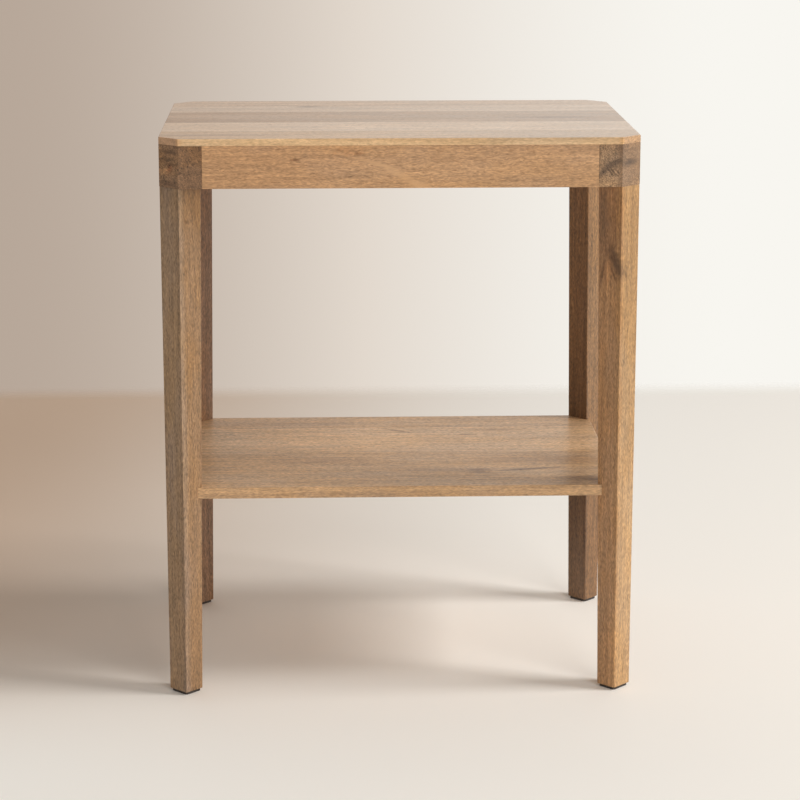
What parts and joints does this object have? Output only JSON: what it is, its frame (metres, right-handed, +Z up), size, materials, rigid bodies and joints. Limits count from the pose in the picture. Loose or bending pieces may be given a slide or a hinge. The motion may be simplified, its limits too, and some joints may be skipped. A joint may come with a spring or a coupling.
{
  "type": "end table",
  "caption": "Wooden end table with a stave top flush on its apron, clipped corners, tapered legs set at 45 degrees and a low open shelf let into the legs.",
  "frame": {"origin": "on the floor, under the middle of the top", "axes": "+Z up, +X along the table's width to the right, front towards -Y"},
  "size_m": [0.508, 0.356, 0.61],
  "materials": {
    "top_wood": "satin oiled wood, staves along the width",
    "rail_wood": "satin oiled wood, grain along the rail",
    "block_wood": "satin oiled wood, darker figured grain",
    "leg_wood": "satin oiled wood, upright grain",
    "shelf_wood": "satin oiled wood, staves along the width",
    "bearer_wood": "plain sawn wood",
    "dowel_wood": "plain beech",
    "glide_plastic": "matte black",
    "fastener_steel": "zinc plated"
  },
  "bodies": {
    "root": {"top_stave_1": "top_wood", "top_stave_2": "top_wood", "top_stave_3": "top_wood", "top_stave_4": "top_wood", "top_stave_5": "top_wood", "front_rail": "rail_wood", "right_rail": "rail_wood", "back_rail": "rail_wood", "left_rail": "rail_wood", "corner_block_front_left": "block_wood", "corner_block_front_right": "block_wood", "corner_block_back_right": "block_wood", "corner_block_back_left": "block_wood", "leg_front_left": "leg_wood", "leg_front_right": "leg_wood", "leg_back_right": "leg_wood", "leg_back_left": "leg_wood", "shelf_stave_1": "shelf_wood", "shelf_stave_2": "shelf_wood", "shelf_stave_3": "shelf_wood", "shelf_stave_4": "shelf_wood", "foot_glide_front_left": "glide_plastic", "foot_glide_front_right": "glide_plastic", "foot_glide_back_right": "glide_plastic", "foot_glide_back_left": "glide_plastic", "top_bearer_left": "bearer_wood", "top_bearer_right": "bearer_wood", "rail_dowels": "dowel_wood", "leg_dowels": "dowel_wood", "bearer_dowels": "dowel_wood", "shelf_dowels": "dowel_wood", "bearer_screws": "fastener_steel", "glide_nails": "fastener_steel"}
  },
  "joints": []
}
